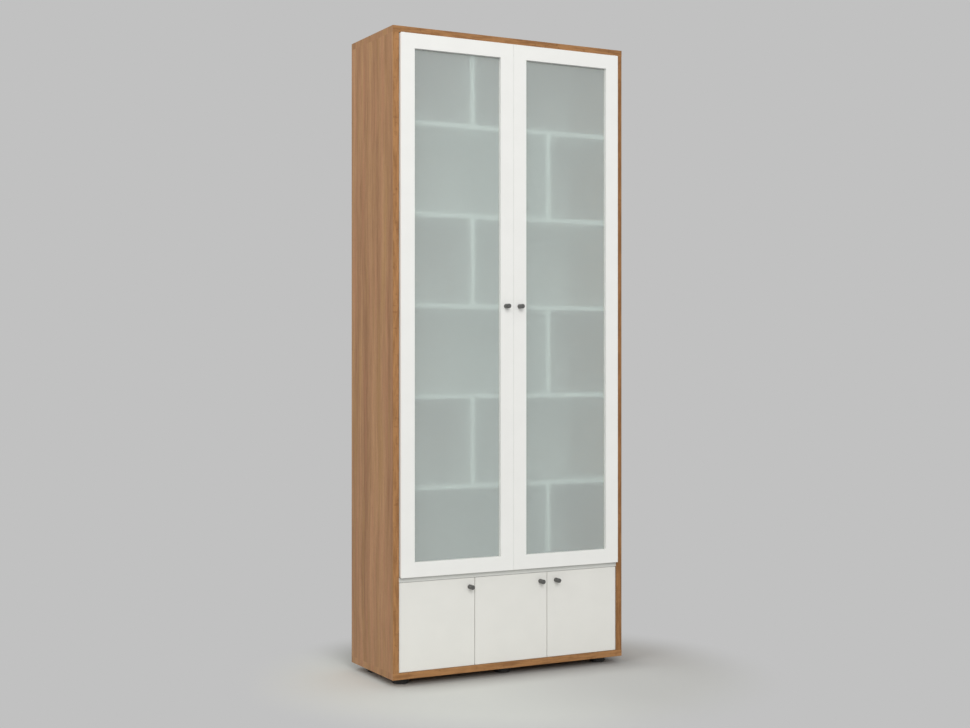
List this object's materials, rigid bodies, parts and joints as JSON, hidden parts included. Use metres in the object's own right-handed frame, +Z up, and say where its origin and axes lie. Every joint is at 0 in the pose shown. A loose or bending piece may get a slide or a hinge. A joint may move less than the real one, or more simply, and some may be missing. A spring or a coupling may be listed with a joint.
{
  "type": "tall bookcase with hinged glass doors above hinged plain doors",
  "caption": "Tall free-standing bookcase on disc feet: divided shelving behind a pair of framed frosted-glass doors, a cupboard with plain doors below.",
  "frame": {"origin": "on the floor, below the middle of the overall box (knobs included)", "axes": "+X to the right as seen from the front, +Y from the front to the back, +Z up"},
  "size_m": [0.9, 0.3898, 2.197],
  "materials": {
    "wood_decor": "satin brown wood-grain decor",
    "white_board": "white melamine board, satin",
    "frame_lacquer": "white satin lacquer on wood frames",
    "door_lacquer": "white satin lacquer on panel doors",
    "frosted_glass": "satin-etched pale green glass",
    "white_plastic": "matte white moulded plastic",
    "knob_metal": "dark grey powder-coated metal",
    "zinc_steel": "zinc-plated steel",
    "beech": "raw beech dowel",
    "black_plastic": "matte black moulded plastic"
  },
  "bodies": {
    "carcass": {"left_side_panel": "wood_decor", "right_side_panel": "wood_decor", "top_board": "wood_decor", "bottom_board": "wood_decor", "back_panel": "white_board", "middle_board": "white_board", "lower_partition": "white_board", "shelf_1": "white_board", "shelf_2": "white_board", "shelf_3": "white_board", "shelf_4": "white_board", "shelf_5": "white_board", "divider_1": "white_board", "divider_2": "white_board", "divider_3": "white_board", "divider_4": "white_board", "divider_5": "white_board", "divider_6": "white_board", "cam_discs": "zinc_steel", "cam_bolts": "zinc_steel", "dowels": "beech", "feet": "black_plastic", "foot_screws": "zinc_steel", "carcass_hinge_leaves": "zinc_steel", "hinge_pins": "zinc_steel", "hinge_washers": "white_plastic", "magnetic_catches": "white_plastic", "carcass_screws": "zinc_steel"},
    "upper_left_door": {"upper_left_hinge_stile": "frame_lacquer", "upper_left_meeting_stile": "frame_lacquer", "upper_left_top_rail": "frame_lacquer", "upper_left_bottom_rail": "frame_lacquer", "upper_left_glass": "frosted_glass", "upper_left_glazing_beads": "white_plastic", "upper_left_knob": "knob_metal", "upper_left_hinge_leaves": "zinc_steel", "upper_left_screws": "zinc_steel"},
    "upper_right_door": {"upper_right_hinge_stile": "frame_lacquer", "upper_right_meeting_stile": "frame_lacquer", "upper_right_top_rail": "frame_lacquer", "upper_right_bottom_rail": "frame_lacquer", "upper_right_glass": "frosted_glass", "upper_right_glazing_beads": "white_plastic", "upper_right_knob": "knob_metal", "upper_right_hinge_leaves": "zinc_steel", "upper_right_screws": "zinc_steel"},
    "lower_left_door": {"lower_left_door": "door_lacquer", "lower_left_knob": "knob_metal", "lower_left_hinge_leaves": "zinc_steel", "lower_left_screws": "zinc_steel"},
    "lower_middle_door": {"lower_middle_door": "door_lacquer", "lower_middle_knob": "knob_metal", "lower_middle_hinge_leaves": "zinc_steel", "lower_middle_screws": "zinc_steel"},
    "lower_right_door": {"lower_right_door": "door_lacquer", "lower_right_knob": "knob_metal", "lower_right_hinge_leaves": "zinc_steel", "lower_right_screws": "zinc_steel"}
  },
  "joints": [
    {"name": "upper_left_door_hinge", "type": "hinge", "parent": "carcass", "child": "upper_left_door", "pos_m": [-0.414, -0.1614, 0], "axis": [0, 0, -1], "range_deg": [0, 95]},
    {"name": "upper_right_door_hinge", "type": "hinge", "parent": "carcass", "child": "upper_right_door", "pos_m": [0.414, -0.1614, 0], "axis": [0, 0, 1], "range_deg": [0, 95]},
    {"name": "lower_left_door_hinge", "type": "hinge", "parent": "carcass", "child": "lower_left_door", "pos_m": [-0.414, -0.1451, 0], "axis": [0, 0, -1], "range_deg": [0, 95]},
    {"name": "lower_middle_door_hinge", "type": "hinge", "parent": "carcass", "child": "lower_middle_door", "pos_m": [-0.12933, -0.1451, 0], "axis": [0, 0, -1], "range_deg": [0, 95]},
    {"name": "lower_right_door_hinge", "type": "hinge", "parent": "carcass", "child": "lower_right_door", "pos_m": [0.414, -0.1451, 0], "axis": [0, 0, 1], "range_deg": [0, 95]}
  ]
}
